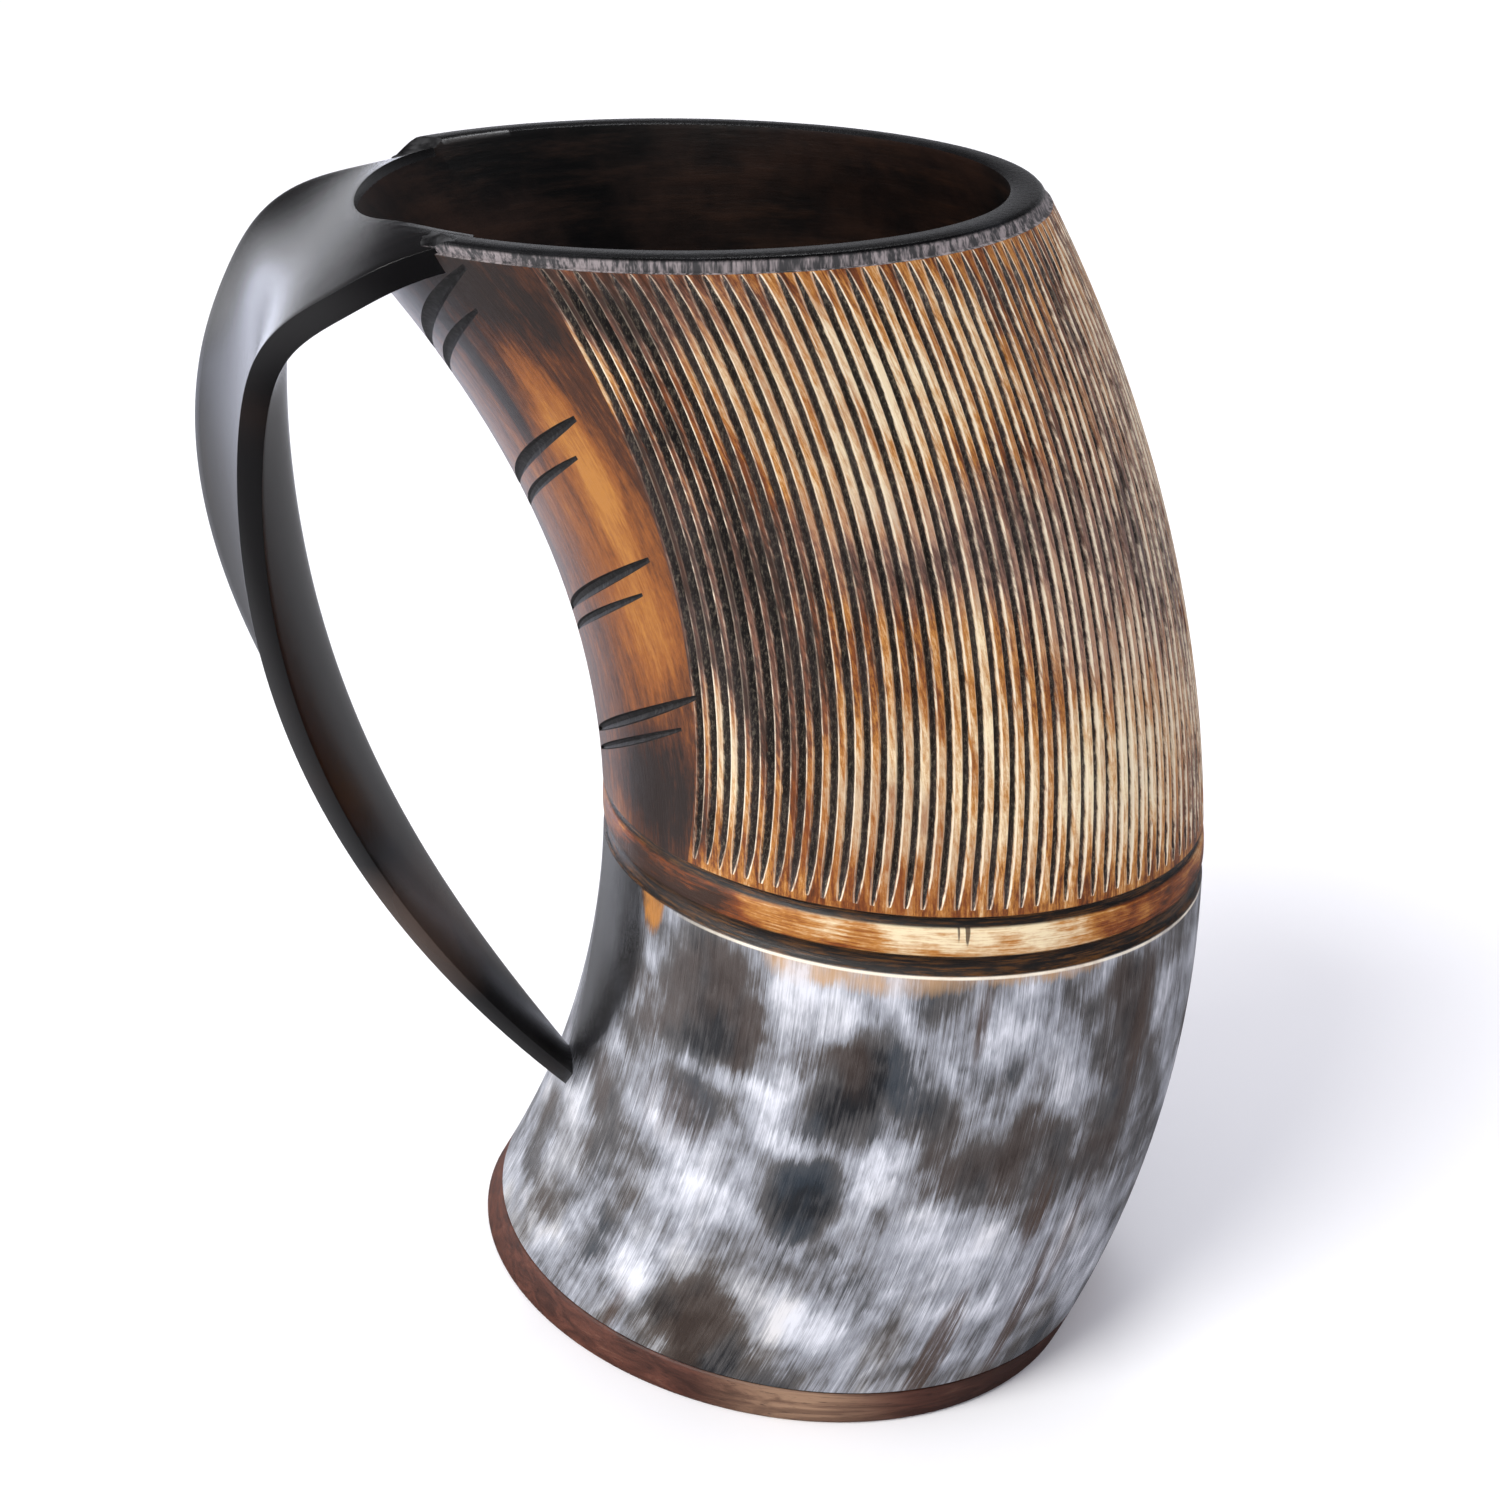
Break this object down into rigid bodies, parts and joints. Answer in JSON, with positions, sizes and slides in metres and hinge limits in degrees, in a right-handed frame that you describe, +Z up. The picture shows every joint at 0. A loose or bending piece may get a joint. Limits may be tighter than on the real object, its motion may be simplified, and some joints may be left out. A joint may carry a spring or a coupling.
{
  "type": "horn drinking mug",
  "caption": "Curved oval drinking mug of polished horn with a fluted upper half, a carved double groove, a bent strip handle and a wooden base disc.",
  "frame": {"origin": "centre of the oval underside of the wooden base disc, on the surface that the mug stands on", "axes": "+Z up to the mouth; -X towards the handle; +Y across the mug, away from the pictured side"},
  "size_m": [0.1405, 0.086, 0.1667],
  "materials": {
    "horn": "polished horn, marbled white and grey below, amber and dark brown above",
    "dark_horn": "polished near-black horn",
    "walnut": "oiled reddish-brown walnut",
    "glue": "dark glue",
    "resin": "poured dark resin"
  },
  "bodies": {
    "root": {"horn_body": "horn", "handle": "dark_horn", "base_disc": "walnut", "glue_line": "glue", "base_seal": "resin"}
  },
  "joints": []
}
